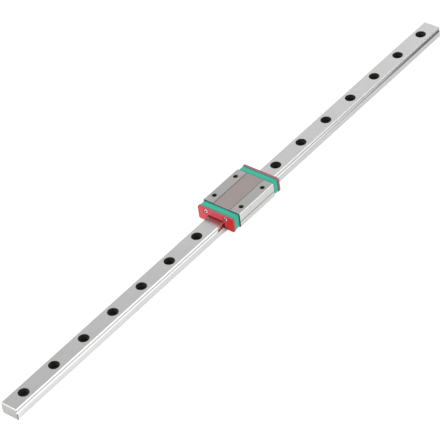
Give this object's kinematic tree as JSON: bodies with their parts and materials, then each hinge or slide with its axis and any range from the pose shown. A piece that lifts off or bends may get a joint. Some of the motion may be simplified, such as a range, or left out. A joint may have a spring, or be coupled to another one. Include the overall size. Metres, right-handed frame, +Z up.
{
  "type": "miniature linear guide rail",
  "caption": "Slender profiled steel rail with counterbored bolt holes and a rolling ball carriage with tapped top holes, plastic end caps and wiper seals, for guiding straight motion.",
  "frame": {"origin": "middle of the rail's underside", "axes": "+X along the rail, +Y across it, +Z up from the mounting face to the carriage's top"},
  "size_m": [0.4, 0.027, 0.013],
  "materials": {
    "rail_steel": "hardened, ground and polished",
    "block_steel": "hardened, ground on its reference faces",
    "cap_plastic": "moulded, satin",
    "seal_rubber": "moulded, satin",
    "plate_steel": "blackened sheet",
    "screw_steel": "bright plated",
    "ball_steel": "lapped bearing steel",
    "wire_steel": "drawn"
  },
  "bodies": {
    "rail": {"rail": "rail_steel"},
    "carriage": {"carriage_block": "block_steel", "end_cap_front": "cap_plastic", "end_cap_rear": "cap_plastic", "seal_plate_front": "plate_steel", "seal_plate_rear": "plate_steel", "end_seal_front": "seal_rubber", "end_seal_rear": "seal_rubber", "cap_screw_front_left": "screw_steel", "cap_screw_front_right": "screw_steel", "cap_screw_rear_left": "screw_steel", "cap_screw_rear_right": "screw_steel", "ball_circuit_left": "ball_steel", "ball_circuit_right": "ball_steel", "ball_wire_left": "wire_steel", "ball_wire_right": "wire_steel"}
  },
  "joints": [
    {"name": "carriage_slide", "type": "slide", "parent": "rail", "child": "carriage", "axis": [1, 0, 0], "range_m": [-0.17935, 0.17465]}
  ]
}
